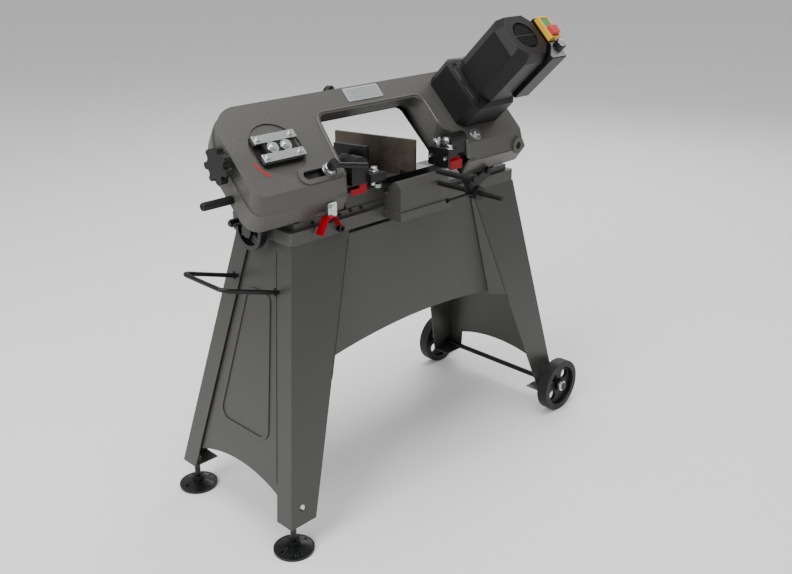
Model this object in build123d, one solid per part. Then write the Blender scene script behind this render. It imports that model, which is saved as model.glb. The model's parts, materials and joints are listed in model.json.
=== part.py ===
"""Horizontal and vertical metal-cutting band saw on a wheeled sheet-metal stand.

Millimetres, +Z up. X runs along the bed, from the vise handwheel (-X) to the
motor and transport wheels (+X). -Y is the operator's side. z = 0 is the floor.
The bow (saw head) is built in its own plane, tilted 45 degrees about X:
u is along the blade, v up the bow and w out of its painted face.
"""
from build123d import *
import math
import os

# ---------------------------------------------------------------- driving sizes
BLADE_LENGTH = 1638.0          # 64-1/2 inch loop
BLADE_WIDTH = 12.7             # 1/2 inch
BLADE_THICK = 0.64
WHEEL_R = 93.5                 # 7-3/8 inch blade wheels
BLADE_GAP = 0.3                # between a wheel's rim and the loop
WHEEL_SPACING = (BLADE_LENGTH - 2 * math.pi * WHEEL_R) / 2

STAND_TOP = 560.0
TABLE_Z = 626.0
BLADE_Y = -78.0
BLADE_Z = 634.5
PIVOT_X = 318.0
PIVOT_Z = 640.0

IDLER_U = -302.0
DRIVE_U = IDLER_U + WHEEL_SPACING
WHEEL_V = WHEEL_R + BLADE_GAP + BLADE_THICK / 2
RIM_W = -25.0                  # open back of the bow casting
MID_W = 8.0                    # where the spine's lower wall turns in
FACE_W = 32.0                  # painted face of the bow casting
WALL = 5.0
SKIRT_STEP = 3.0               # ledge around the casting at MID_W
MOTOR_UV = (230.0, 120.0)
VISE_Y = 20.0
JAW_TURN = 15.0                # both jaws stand mitred by this much
FIXED_JAW_X = -12.0
MOVING_JAW_X = -80.0
SCREW_Y = 2.0                  # the vise screw runs a little in front of the jaws' swivels
SCREW_Z = 581.0
AXLE_X = 388.0
AXLE_R = 6.0
TYRE_R = 62.0
SHEET = 2.0                    # stand sheet metal
SHAFT_R = 10.0                 # both blade wheels' shafts
SCREW_R = 5.0                  # blade tension screw
RUNNING = 0.05                 # radial clearance of a running fit
TENSION_V = 98.0               # height up the bow of the tension screw
LEVER_U = -226.0
LEVER_V = 34.0
SLOT_U = -245.0                # middle of the guide arm's slot

GEAR_TEETH = 48
PINION_TEETH = 12
MODULE = 1.0
CENTRES = MODULE * (GEAR_TEETH + PINION_TEETH) / 2 + 0.25
# left, right, lower and upper sides of the eight-sided motor parts
GEAR_BOX = (177.0, 277.0, 68.0, 172.0)
BASE = (154.0, 290.0, 57.0, 186.0)
COVER = (176.0, 284.0, 65.0, 175.0)
CAP = (183.0, 277.0, 73.0, 167.0)
BASE_CUT = 14.0
COVER_CUT = 23.0
CAP_CUT = 20.0
BASE_TOP = 94.0
COVER_FOOT = 102.0
COVER_TOP = 219.0
CAP_TOP = 238.0
COVER_WALL = 3.0
SWITCH_U = (286.0, 319.0)
SWITCH_V = (97.0, 151.0)
DIAL_UV = (295.0, 78.0)
BOX_TOP = 238.0
BOX_FOOT = 112.0
ROLLER_R = 9.0
ROLLER_OFFSET = ROLLER_R + BLADE_THICK / 2 + 0.3
LEFT_ROLLER_X = -112.0
RIGHT_ROLLER_X = 86.0
RIGHT_PLATE_X = 70.0           # face plate of the right guide
RIGHT_PLATE_Y = (-105.0, -51.0)
HOUSING_X = 105.0              # arch-shaped housing beside the right box
HOUSING_YZ = (-68.0, 680.0)
CRANK_YZ = (-17.0, 28.0)       # crank pin from the handwheel's middle
STOP_X = 28.5
STOP_Z = 617.0
PIN_X = 10.0
PIN_Z = 647.0
LEG_TOP = (320.0, 80.0)
LEG_FOOT_LEFT = (425.0, 174.0, 59.0)
LEG_FOOT_RIGHT = (408.0, 169.0, 46.0)
FLANGE_TOP = 140.0
FLANGE_FOOT = 60.0
END_FLANGE = 42.0
FOOT_X = 406.0
FOOT_Y = 155.0

# from the stand's middle to the middle of the whole machine's box
SHIFT_X = 8.0
SHIFT_Y = 32.5

HALF = math.sqrt(0.5)
BOW = Plane(origin=(0, BLADE_Y, BLADE_Z), x_dir=(1, 0, 0), z_dir=(0, -HALF, HALF))

os.makedirs("parts", exist_ok=True)


# ---------------------------------------------------------------- small helpers
def save(name, *shapes):
    """Write one node; several shapes are separate solids of one group."""
    solids = []
    for shape in shapes:
        solids += list(shape.moved(Location((SHIFT_X, SHIFT_Y, 0))).solids())
    shape = solids[0] if len(solids) == 1 else Compound(children=solids)
    shape.label = name
    export_step(shape, f"parts/{name}.step")


def box(x0, x1, y0, y1, z0, z1):
    """Block between two corners."""
    block = Solid.make_box(x1 - x0, y1 - y0, z1 - z0)
    return block.moved(Location((x0, y0, z0)))


def rod(start, end, radius):
    """Round bar between two points."""
    start = Vector(*start)
    axis = Vector(*end) - start
    plane = Plane(origin=start, z_dir=axis)
    return Solid.make_cylinder(radius, axis.length, plane)


def tube(start, end, radius, bore):
    """Round bar with a hole along it."""
    return rod(start, end, radius) - rod(start, end, bore)


def prism(plane, points, depth, radii=None):
    """Polygon on a plane, with optional corner radii, pushed out by depth."""
    if radii is None:
        line = Polyline(*points, close=True)
    else:
        line = FilletPolyline(*points, radius=radii, close=True)
    face = make_face(plane * line).faces()[0]
    return Solid.extrude(face, plane.z_dir * depth)


def on_bow(*shapes):
    """Move shapes drawn as (u, v, w) into the bow's plane."""
    moved = [shape.moved(BOW.location) for shape in shapes]
    return moved[0] if len(moved) == 1 else moved


def at(z):
    """Plane parallel to XY at a height."""
    return Plane(origin=(0, 0, z))


def hexagon(centre, direction, across, height):
    """Hexagonal head or nut standing on a point."""
    plane = Plane(origin=Vector(*centre), z_dir=Vector(*direction))
    corner = across / math.sqrt(3)
    points = [(corner * math.cos(math.radians(a)), corner * math.sin(math.radians(a)))
              for a in range(0, 360, 60)]
    return prism(plane, points, height)


def cap_screw(centre, direction, radius, height):
    """Round head with a hexagon socket."""
    centre = Vector(*centre)
    direction = Vector(*direction).normalized()
    head = rod(centre, centre + direction * height, radius)
    socket = hexagon(centre + direction * height * 0.5, direction, radius, height)
    return head - socket


def inset(points, distance):
    """Polygon (clockwise) with every side moved inward by a distance."""
    result = []
    count = len(points)
    for i in range(count):
        p, q, r = points[i - 1], points[i], points[(i + 1) % count]
        a = (q[0] - p[0], q[1] - p[1])
        b = (r[0] - q[0], r[1] - q[1])
        la, lb = math.hypot(*a), math.hypot(*b)
        na = (a[1] / la, -a[0] / la)
        nb = (b[1] / lb, -b[0] / lb)
        scale = distance / (1 + na[0] * nb[0] + na[1] * nb[1])
        result.append((q[0] + (na[0] + nb[0]) * scale, q[1] + (na[1] + nb[1]) * scale))
    return result


# ---------------------------------------------------------------- bow casting
def between(w, face, mid, rim):
    """Value at depth w of a size given at the face, at MID_W and at the rim."""
    if w >= MID_W:
        return mid + (face - mid) * (w - MID_W) / (FACE_W - MID_W)
    return mid + (rim - mid) * (MID_W - w) / (MID_W - RIM_W)


def bow_outline(w, shrink=0.0, step=0.0):
    """Section of the bow casting at depth w: left box, spine and right box."""
    sill_left = between(w, 15, -9, -18) - step
    sill_right = between(w, 19, -9, -17) - step
    nose = between(w, -400, -402, -404) - step
    tail = between(w, 334, 346, 350) + step
    spine = between(w, 150, 150, 172)
    corners = [
        (nose, sill_left, between(w, 24, 27, 30), True),
        (nose, between(w, 198, 202, 207) + step, between(w, 62, 84, 110), True),
        (tail, between(w, 201, 204, 208) + step, between(w, 62, 72, 86), True),
        (tail, sill_right, between(w, 8, 12, 26), True),
        (between(w, 150, 151, 152), sill_right, 6, True),
        (between(w, 150, 151, 152), between(w, 38, 24, -2), 14, True),
        (between(w, 104, 107, 110), between(w, 72, 64, 44), 22, True),
        (between(w, 104, 106, 108), spine, 22, False),
        (-174, spine, 16, False),
        (between(w, -190, -187.5, -184), sill_left, 9, True),
    ]
    points = [(c[0], c[1]) for c in corners]
    radii = [c[2] for c in corners]
    if shrink:
        points = inset(points, shrink)
        radii = [max(c[2] - shrink, 1.0) if c[3] else c[2] + shrink for c in corners]
    return make_face(at(w) * FilletPolyline(*points, radius=radii, close=True))


def bow_loft(levels, shrink=0.0, step=0.0):
    """Solid through the casting's sections; step widens the skirt below MID_W."""
    low, middle, high = levels
    skirt = loft([bow_outline(low, shrink, step), bow_outline(middle, shrink, step)], ruled=True)
    upper = loft([bow_outline(middle, shrink), bow_outline(high, shrink)], ruled=True)
    return skirt + upper


def bow_frame():
    """The pan-shaped casting with its bosses, slots and wheel clearances."""
    shell = bow_loft((RIM_W, MID_W, FACE_W), step=SKIRT_STEP)
    shell -= bow_loft((RIM_W - 0.5, MID_W, FACE_W - WALL), WALL)
    # lower run of the blade and the guide arms leave through the box ends
    shell -= box(-215, -150, -7, 8, -14, 10.5)
    shell -= box(-215, -150, 22, 46, 13.5, 26.5)
    shell -= box(130, 175, -7, 8, -14, 10.5)
    # drive shaft boss, tension rails and slot, guide clamp slot
    shell += rod((DRIVE_U, WHEEL_V, 14), (DRIVE_U, WHEEL_V, FACE_W - 1), 24)
    shell -= rod((DRIVE_U, WHEEL_V, 10), (DRIVE_U, WHEEL_V, 40), SHAFT_R + RUNNING)
    shell -= rod((IDLER_U, TENSION_V, FACE_W - 2.5), (IDLER_U, TENSION_V, 40), 55)
    for side in (-1, 1):
        middle = TENSION_V + side * 20
        shell += box(IDLER_U - 46, IDLER_U + 46, middle - 6, middle + 6, 28, 41)
    shell -= slot_block(IDLER_U, TENSION_V, 34, 13, 20, 40)
    shell += slot_block(SLOT_U, LEVER_V, 62, 18, FACE_W - 1, FACE_W + 2.5)
    shell -= slot_block(SLOT_U, LEVER_V, 59, 8.5, 20, 40)
    # hole for the tension screw in the left end wall
    shell -= rod((-410, TENSION_V, 20), (-385, TENSION_V, 20), 5.4)
    return on_bow(shell) + pivot_boss() + rear_hinge_arm() - pivot_hole()


def slot_block(u, v, length, radius, w0, w1):
    """Straight slot with round ends, between its two end centres."""
    a = rod((u - length / 2, v, w0), (u - length / 2, v, w1), radius)
    b = rod((u + length / 2, v, w0), (u + length / 2, v, w1), radius)
    return a + b + box(u - length / 2, u + length / 2, v - radius, v + radius, w0, w1)


def pivot_boss():
    """Round boss on the front wall of the right box, around the pivot pin."""
    return rod((PIVOT_X, -93, PIVOT_Z), (PIVOT_X, -64, PIVOT_Z), 18)


def pivot_hole():
    return rod((PIVOT_X, -100, PIVOT_Z), (PIVOT_X, 70, PIVOT_Z), 8 + RUNNING)


def rear_hinge_arm():
    """Arm from the casting's rim back to the rear end of the pivot pin."""
    lug = rod((PIVOT_X, 42, PIVOT_Z), (PIVOT_X, 56, PIVOT_Z), 19)
    plane = Plane(origin=(0, 42, 0), x_dir=(1, 0, 0), z_dir=(0, 1, 0))
    web = prism(plane, [(PIVOT_X - 19, -PIVOT_Z), (PIVOT_X + 19, -PIVOT_Z),
                        (PIVOT_X + 16, -745), (PIVOT_X - 12, -745)], 14)
    cut = on_bow(box(200, 400, -200, 300, RIM_W + WALL, 80))
    return lug + web - cut


# ---------------------------------------------------------------- bow covers
def blade_cover():
    """Black sheet cover over the open back of the bow."""
    cover = prism(at(RIM_W - 3), [
        (-406, -20), (-406, 209), (352, 209), (352, -19), (150, -19), (150, -1),
        (104, 47), (98, 168), (-168, 168), (-168, 130), (-182, -20),
    ], 3, [30, 110, 86, 26, 6, 14, 22, 14, 8, 14, 9])
    notch = box(PIVOT_X - 22, PIVOT_X + 22, 38, 60, 500, 900)
    return on_bow(cover) - notch - rod((PIVOT_X, -80, PIVOT_Z), (PIVOT_X, 20, PIVOT_Z), 9)


# ---------------------------------------------------------------- blade and wheels
def blade_section(x, turn):
    """Thin rectangle across the blade, turned about the blade's own line."""
    plane = Plane(origin=(x, BLADE_Y, BLADE_Z), x_dir=(0, 1, 0), z_dir=(1, 0, 0))
    section = Rectangle(BLADE_THICK, BLADE_WIDTH)
    return plane * Rot(0, 0, turn) * section


def blade():
    """Closed loop: flat round the wheels, twisted upright between the guides."""
    r_in = WHEEL_R + BLADE_GAP
    r_out = r_in + BLADE_THICK
    half = BLADE_WIDTH / 2
    loop = None
    for u, side in ((IDLER_U, -1), (DRIVE_U, 1)):
        ring = tube((u, WHEEL_V, -half), (u, WHEEL_V, half), r_out, r_in)
        low, high = (u - 200, u) if side < 0 else (u, u + 200)
        arc = ring & box(low, high, -200, 400, -half, half)
        loop = arc if loop is None else loop + arc
    loop += box(IDLER_U, DRIVE_U, WHEEL_V + r_in, WHEEL_V + r_out, -half, half)
    loop = on_bow(loop)
    upright = box(-160, 100, BLADE_Y - BLADE_THICK / 2, BLADE_Y + BLADE_THICK / 2,
                  BLADE_Z - half, BLADE_Z + half)
    tooth = prism(Plane(origin=(0, BLADE_Y - 1, 0), x_dir=(1, 0, 0), z_dir=(0, 1, 0)),
                  blade_gullets(), 2)
    loop += loft([blade_section(IDLER_U, 45), blade_section(-160, 0)], ruled=True)
    loop += loft([blade_section(100, 0), blade_section(DRIVE_U, 45)], ruled=True)
    return loop + (upright - tooth)


def blade_gullets():
    """Saw-tooth line along the lower edge of the upright run."""
    pitch = 4.0
    low = BLADE_Z - BLADE_WIDTH / 2
    points = [(-158.0, -(low - 3))]
    x = -158.0
    while x < 96:
        points.append((x, -low))
        points.append((x + pitch * 0.85, -(low + 1.8)))
        x += pitch
    points.append((x, -low))
    points.append((x, -(low - 3)))
    return points


def band_wheel(bore, hub_w):
    """Cast blade wheel: rim, dished web with holes, and a hub."""
    wheel = rod((0, 0, -9), (0, 0, 9), WHEEL_R)
    wheel -= tube((0, 0, 3), (0, 0, 10), WHEEL_R - 9, 26)
    wheel -= tube((0, 0, -10), (0, 0, -3), WHEEL_R - 9, 26)
    for k in range(5):
        a = math.radians(72 * k)
        wheel -= rod((56 * math.cos(a), 56 * math.sin(a), -4),
                     (56 * math.cos(a), 56 * math.sin(a), 4), 15)
    wheel += rod((0, 0, -11), (0, 0, hub_w), 22)
    return wheel - rod((0, 0, -20), (0, 0, 30), bore)


def wheel_at(shape, u):
    return on_bow(shape.moved(Location((u, WHEEL_V, 0))))


def band_wheels():
    save("idler_wheel", wheel_at(band_wheel(SHAFT_R + RUNNING, 12), IDLER_U))
    save("drive_wheel", wheel_at(band_wheel(SHAFT_R, 12.5), DRIVE_U))


# ---------------------------------------------------------------- drive train
def gear(teeth, module, thickness, bore):
    """Spur gear with straight-sided teeth, thinned for running clearance."""
    pitch = 2 * math.pi / teeth
    r_tip = module * (teeth / 2 + 0.8)
    r_root = module * (teeth / 2 - 1.35)
    points = []
    for i in range(teeth):
        for radius, part in ((r_root, -0.27), (r_tip, -0.10), (r_tip, 0.10), (r_root, 0.27)):
            a = pitch * (i + part)
            points.append((radius * math.cos(a), radius * math.sin(a)))
    wheel = prism(Plane.XY, points, thickness)
    return wheel - rod((0, 0, -1), (0, 0, thickness + 1), bore)


def counter_shaft_centre():
    """Point at the gear centre distance from both wheel and motor shafts."""
    dx = MOTOR_UV[0] - DRIVE_U
    dy = MOTOR_UV[1] - WHEEL_V
    span = math.hypot(dx, dy)
    rise = math.sqrt(CENTRES ** 2 - span ** 2 / 4)
    return (DRIVE_U + dx / 2 - dy / span * rise, WHEEL_V + dy / 2 + dx / span * rise)


def phase(teeth, centre, other, own_gap):
    """Turn that points a tooth, or a gap, from one gear's centre at another's."""
    a = math.degrees(math.atan2(other[1] - centre[1], other[0] - centre[0]))
    return a + (180.0 / teeth if own_gap else 0.0)


def placed_gear(teeth, thickness, bore, centre, other, own_gap, w):
    turn = phase(teeth, centre, other, own_gap)
    wheel = gear(teeth, MODULE, thickness, bore)
    return wheel.moved(Location((centre[0], centre[1], w), (0, 0, turn)))


def drive_train():
    """Motor pinion, counter shaft and final gear in the gear housing."""
    wheel_c = (DRIVE_U, WHEEL_V)
    counter = counter_shaft_centre()
    shaft = rod((DRIVE_U, WHEEL_V, -14), (DRIVE_U, WHEEL_V, 50), SHAFT_R)
    shaft += rod((DRIVE_U, WHEEL_V, -17), (DRIVE_U, WHEEL_V, -11), 14)
    shaft += placed_gear(GEAR_TEETH, 8, SHAFT_R - 1, wheel_c, counter, False, 41)
    save("drive_shaft", on_bow(shaft))
    small = placed_gear(PINION_TEETH, 11.6, 3, counter, wheel_c, True, 40)
    large = placed_gear(GEAR_TEETH, 7, 3, counter, MOTOR_UV, False, 51.5)
    save("counter_gear", on_bow(small + large))
    pinion = placed_gear(PINION_TEETH, 9, 2, MOTOR_UV, counter, True, 50.5)
    rotor = rod((*MOTOR_UV, 50.5), (*MOTOR_UV, 90), 4)
    rotor += rod((*MOTOR_UV, 90), (*MOTOR_UV, 150), 26)
    save("motor_rotor", on_bow(rotor + pinion))


def motor():
    """Gearbox base with its posts and counter pin, and the motor can."""
    base = prism(at(FACE_W + 0.2), octagon(GEAR_BOX, 20), 4.5)
    base -= rod((DRIVE_U, WHEEL_V, 30), (DRIVE_U, WHEEL_V, 40), SHAFT_R + 1)
    counter = counter_shaft_centre()
    base += rod((*counter, 34), (*counter, 60), 3 - RUNNING)
    for u, v in ((186, 162), (268, 162), (266, 78), (190, 76)):
        base += rod((u, v, FACE_W + 3), (u, v, 62.4), 5)
    save("gearbox_base", on_bow(base))
    can = tube((*MOTOR_UV, 67.5), (*MOTOR_UV, 165), 42, 27)
    can += tube((*MOTOR_UV, 67.5), (*MOTOR_UV, 78), 42, 4 + RUNNING)
    can += rod((*MOTOR_UV, 158), (*MOTOR_UV, 168), 42)
    plate = prism(at(62.5), octagon(GEAR_BOX, 20), 5.5)
    plate -= rod((*MOTOR_UV, 60), (*MOTOR_UV, 70), 4 + RUNNING)
    save("motor_can", on_bow(can + plate))


def octagon(sides, cut, grow=0.0):
    """Rectangle with its corners cut off, as corner points."""
    u0, u1 = sides[0] - grow, sides[1] + grow
    v0, v1 = sides[2] - grow, sides[3] + grow
    return [(u0 + cut, v0), (u1 - cut, v0), (u1, v0 + cut), (u1, v1 - cut),
            (u1 - cut, v1), (u0 + cut, v1), (u0, v1 - cut), (u0, v0 + cut)]


def octagon_face(w, sides, cut):
    return make_face(at(w) * Polyline(*octagon(sides, cut), close=True))


def octagon_shell(w0, w1, sides, cut):
    """Open-ended eight-sided tube."""
    body = prism(at(w0), octagon(sides, cut), w1 - w0)
    return body - prism(at(w0 - 1), octagon(sides, cut, -COVER_WALL), w1 - w0 + 2)


def motor_covers():
    """Base cover with shoulder, long body and chamfered end cap."""
    base = octagon_shell(FACE_W + 0.2, BASE_TOP, BASE, BASE_CUT)
    shoulder = loft([octagon_face(BASE_TOP, BASE, BASE_CUT),
                     octagon_face(COVER_FOOT, COVER, COVER_CUT)], ruled=True)
    shoulder -= prism(at(BASE_TOP - 1), octagon(COVER, COVER_CUT, -COVER_WALL), 12)
    for u in (172, 272):
        for v in (75, 168):
            shoulder -= rod((u, v, BASE_TOP + 1), (u, v, COVER_FOOT), 5)
    save("motor_base_cover", on_bow(base + shoulder))
    save("motor_cover", on_bow(octagon_shell(COVER_FOOT + 0.2, COVER_TOP, COVER, COVER_CUT)))
    cap = loft([octagon_face(COVER_TOP + 0.2, COVER, COVER_CUT),
                octagon_face(CAP_TOP, CAP, CAP_CUT)], ruled=True)
    cap -= prism(at(COVER_TOP - 1), octagon(CAP, CAP_CUT, -4), 15)
    u, v = MOTOR_UV
    grille = rod((u, v, 234.5), (u, v, 240), 31)
    grille -= box(u - 32, u + 32, v - 2, v + 2, 230, 237)
    save("motor_end_cap", on_bow(cap - grille))


def controls():
    """Control box nested under the motor cover, with switch and speed dial."""
    sides = [(263, 56), (312, 56), (312, 156), (285, 156), (285, 88.2), (263, 66)]
    body = prism(at(BOX_FOOT), sides, BOX_TOP - BOX_FOOT, [2] * 6)
    body -= box(288, 309, 59, 153, BOX_FOOT - 1, BOX_TOP - 3)
    start = box(291, 314, 125, 146, 225, 260)
    stop = box(291, 314, 102, 123, 225, 260)
    plate = box(*SWITCH_U, *SWITCH_V, BOX_TOP, BOX_TOP + 12) - start - stop
    body = body - start - stop - rod((*DIAL_UV, 230), (*DIAL_UV, 240), 4 + RUNNING)
    save("control_box", on_bow(body))
    save("switch_plate", on_bow(plate))
    save("stop_button", on_bow(box(291.6, 313.4, 102.6, 122.4, 240.5, 258)))
    save("start_button", on_bow(box(291.6, 313.4, 125.6, 145.4, 240.5, 249)))
    u, v = DIAL_UV
    grip = rod((u, v, 241), (u, v, 256), 11.5)
    for k in range(12):
        a = math.radians(30 * k)
        x, y = u + 12.5 * math.cos(a), v + 12.5 * math.sin(a)
        grip -= rod((x, y, 240), (x, y, 260), 2.2)
    save("speed_knob", on_bow(grip + rod((u, v, 226), (u, v, 246), 4)))


# ---------------------------------------------------------------- blade tension
def tension_parts():
    """Gib plates on the face, the idler wheel's sliding carriage, and the knob."""
    u, v = IDLER_U, TENSION_V
    plates = []
    for side in (-1, 1):
        middle = v + side * 19
        plates.append(box(u - 48, u + 44, middle - 8, middle + 8, 41, 45))
    save("gib_plates", *on_bow(*plates))
    block = box(u - 33, u + 34, v - 10.7, v + 10.7, 30, 42)
    neck = box(u - 13, u + 11, v - 9, v + 9, 25, 31)
    carriage = box(u - 30, u + 30, v - 15.5, v + 15.5, 14.5, 26)
    axle = rod((u, WHEEL_V, -12), (u, WHEEL_V, 14.8), SHAFT_R)
    head = rod((u, WHEEL_V, -16), (u, WHEEL_V, -11.3), 14)
    carriage -= rod((u - 40, v, 20), (u + 40, v, 20), SCREW_R + RUNNING)
    save("idler_slide", on_bow(block + neck + carriage + axle + head))
    knob = rod((-429, v, 20), (-413, v, 20), 25)
    for k in range(7):
        a = 2 * math.pi * k / 7
        y, z = v + 25 * math.cos(a), 20 + 25 * math.sin(a)
        knob += rod((-429, y, z), (-415, y, z), 7.5)
        a += math.pi / 7
        y, z = v + 31 * math.cos(a), 20 + 31 * math.sin(a)
        knob -= rod((-430, y, z), (-412, y, z), 8.5)
    knob += rod((-415, v, 20), (-409, v, 20), 12)
    save("tension_knob", on_bow(knob + rod((-420, v, 20), (u + 24, v, 20), SCREW_R)))


def bow_screws():
    """Bright screws fixed to the bow: gib plates and right guide."""
    screws = []
    for side in (-1, 1):
        for end in (-38, 34):
            place = (IDLER_U + end, TENSION_V + side * 19, 45)
            screws.append(on_bow(cap_screw(place, (0, 0, 1), 4.5, 4)))
    left = (-1, 0, 0)
    for y in (RIGHT_PLATE_Y[0] + 7, RIGHT_PLATE_Y[1] - 7):
        screws.append(cap_screw((RIGHT_PLATE_X, y, 655), left, 4.5, 3))
    y, z = HOUSING_YZ
    washer = rod((HOUSING_X, y, z), (HOUSING_X - 2.5, y, z), 10)
    screws.append(washer + hexagon((HOUSING_X - 2.5, y, z), left, 13, 7))
    save("bow_screws", *screws)


# ---------------------------------------------------------------- blade guides


def roller_pins(x, top):
    """Two pins that carry the rollers in front of and behind the blade."""
    pins = []
    for side in (-1, 1):
        y = BLADE_Y + side * ROLLER_OFFSET
        pins.append(rod((x, y, 630), (x, y, top), 2.5))
    return pins[0] + pins[1]


def arch(x0, x1, centre, radius, foot_z):
    """Round-topped block along X."""
    y, z = centre
    return rod((x0, y, z), (x1, y, z), radius) + box(x0, x1, y - radius, y + radius, foot_z, z)


def guides():
    """Left guide on its sliding arm, right guide on its fixed arm, rollers."""
    arm = on_bow(box(-300, -160, 24.5, 43.5, 15, 26))
    arm += on_bow(rod((LEVER_U, LEVER_V, 20), (LEVER_U, LEVER_V, 50), 4))
    casting = prism(Plane(origin=(0, -62, 0), x_dir=(1, 0, 0), z_dir=(0, -1, 0)),
                    [(-179, 645), (-136, 645), (-136, 697), (-179, 697)], 28, [2, 2, 20, 20])
    block = box(-138, -100, -98, -60, 645, 661)
    save("left_guide_arm", arm + casting + block + roller_pins(LEFT_ROLLER_X, 650))
    low, high = RIGHT_PLATE_Y
    side = Plane(origin=(RIGHT_PLATE_X, 0, 0), x_dir=(0, 1, 0), z_dir=(1, 0, 0))
    plate = prism(side, [(low, 637), (high, 637), (high, 674), (low, 674)], 5, [2, 2, 8, 8])
    plate += box(RIGHT_PLATE_X, 110, -96, -58, 655, 670)
    plate -= box(RIGHT_PLATE_X - 1, 112, BLADE_Y - 1.5, BLADE_Y + 1.5, 630, 645)
    housing = arch(HOUSING_X, 153, HOUSING_YZ, 15, 654)
    housing -= on_bow(bow_loft((RIM_W, MID_W, FACE_W)))
    plate += housing.solids().sort_by(SortBy.VOLUME)[-1]
    save("right_guide_arm", plate + roller_pins(RIGHT_ROLLER_X, 656))
    for name, x in (("left", LEFT_ROLLER_X), ("right", RIGHT_ROLLER_X)):
        for label, side in (("front", -1), ("rear", 1)):
            y = BLADE_Y + side * ROLLER_OFFSET
            ring = tube((x, y, 631.5), (x, y, 638.5), ROLLER_R, 2.5 + RUNNING)
            save(f"{name}_{label}_roller", ring)


def guards():
    """Red sheet guards in front of the blade beside each guide."""
    left = box(-181, -141, -89, -87.5, 627, 639) + box(-160, -141, -89, -87.5, 627, 645)
    save("left_blade_guard", left)
    right = box(80, 118, -101.5, -100, 629, 647) + box(80, 118, -100, -92, 645.5, 647)
    right += box(80, 118, -94, -92, 645.5, 652)
    save("right_blade_guard", right)


def clamp_lever():
    """Lever that locks the left guide arm in its slot."""
    u, v = LEVER_U, LEVER_V
    hub = rod((u, v, 37.4), (u, v, 60), 9)
    bar = rod((u, v, 52), (u + 66, v - 20, 58), 5)
    bore = rod((u, v, 30), (u, v, 51), 4 + RUNNING)
    save("clamp_lever", on_bow(hub + bar - bore))


# ---------------------------------------------------------------- small bow parts
def lift_handle():
    """Round handle on the nose, for raising the bow."""
    return on_bow(rod((-466, 48, -16.5), (-407.2, 48, -16.5), 7.5))


# ---------------------------------------------------------------- bed
def bed():
    """Cast bed: flange, low ends, raised table with slots, and front box."""
    body = prism(at(STAND_TOP), [(-320, -80), (320, -80), (320, 80), (-320, 80)], 25, [6] * 4)
    body += box(-306, 302, -72, 76, 585, 598)
    body += box(-178, 88, -70, 78, 585, TABLE_Z)
    front = Plane(origin=(-81, 0, 0), x_dir=(0, 1, 0), z_dir=(1, 0, 0))
    body += prism(front, [(-119.5, 562), (-119.5, 625), (-108, 636.5), (-100, 636.5),
                          (-88, 626), (-60, 626), (-60, 562)], 137)
    body += box(-84, 62, -122.5, -80, 562, 579)
    # slots for blade, vise nut and chip openings
    body -= box(-200, 110, -86, -70, 610, 650)
    body -= box(-160, -20, VISE_Y - 14, VISE_Y + 14, 540, 640)
    body -= box(-160, -20, SCREW_Y - 14, VISE_Y + 14, 540, 613)
    body -= box(-318, 40, SCREW_Y - 13, SCREW_Y + 13, 550, SCREW_Z + 12)
    body -= box(-300, -180, -60, 70, 555, 590)
    body -= box(110, 290, -60, 66, 555, 590)
    body -= rod((28.5, -130, 617), (28.5, -95, 617), 5)
    # end block that holds the vise screw's bearing
    body += box(-331, -318, SCREW_Y - 18, 74, 562, 598)
    body -= rod((-340, SCREW_Y, SCREW_Z), (-300, SCREW_Y, SCREW_Z), 8 + RUNNING)
    return body


def bed_screws():
    """Screws and bolts seen on the bed's front and on its flange."""
    front = (0, -1, 0)
    heads = []
    for x, y, z in ((-262, -72, 591.5), (-196, -72, 592), (-168, -72, 594), (-141, -72, 594)):
        heads.append(cap_screw((x, y, z), front, 3.5, 2.5))
    heads.append(cap_screw((-205, -80, 570), front, 7, 9))
    for x in (-292, 262):
        for y in (-60, 62):
            heads.append(hexagon((x, y, 598), (0, 0, 1), 13, 6))
    heads.append(hexagon((222, -85, 600), front, 12, 5))
    heads.append(cap_screw((178, -85, 577), front, 5, 5))
    save("bed_screws", *heads)


def hinge():
    """Bearing bracket on the bed's right end and the pin that the bow turns on."""
    ear = prism(Plane(origin=(0, 30, 0), x_dir=(1, 0, 0), z_dir=(0, -1, 0)),
                [(302.5, 585.2), (334, 585.2), (334, 657), (302.5, 657)], 32, [2, 2, 15, 15])
    foot = box(270, 302, -14, 42, 598.2, 606)
    link = box(300, 304, -2, 30, 598.2, 606)
    ear = ear + foot + link - rod((PIVOT_X, -20, PIVOT_Z), (PIVOT_X, 50, PIVOT_Z), 8)
    save("hinge_bracket", ear)
    pin = rod((PIVOT_X, -86, PIVOT_Z), (PIVOT_X, 58, PIVOT_Z), 8)
    save("pivot_pin", pin + hexagon((PIVOT_X, 56.5, PIVOT_Z), (0, 1, 0), 20, 8))
    strap = prism(Plane(origin=(0, -80, 0), x_dir=(1, 0, 0), z_dir=(0, -1, 0)),
                  [(160, 577), (174, 563), (236, 590), (226, 610)], 5, [3] * 4)
    save("rest_strap", strap)


# ---------------------------------------------------------------- vise
def jaw_at(shape, x):
    """Turn a jaw drawn square to X about its own swivel and place it."""
    return shape.moved(Location((x, VISE_Y, 0), (0, 0, JAW_TURN)))


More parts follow.
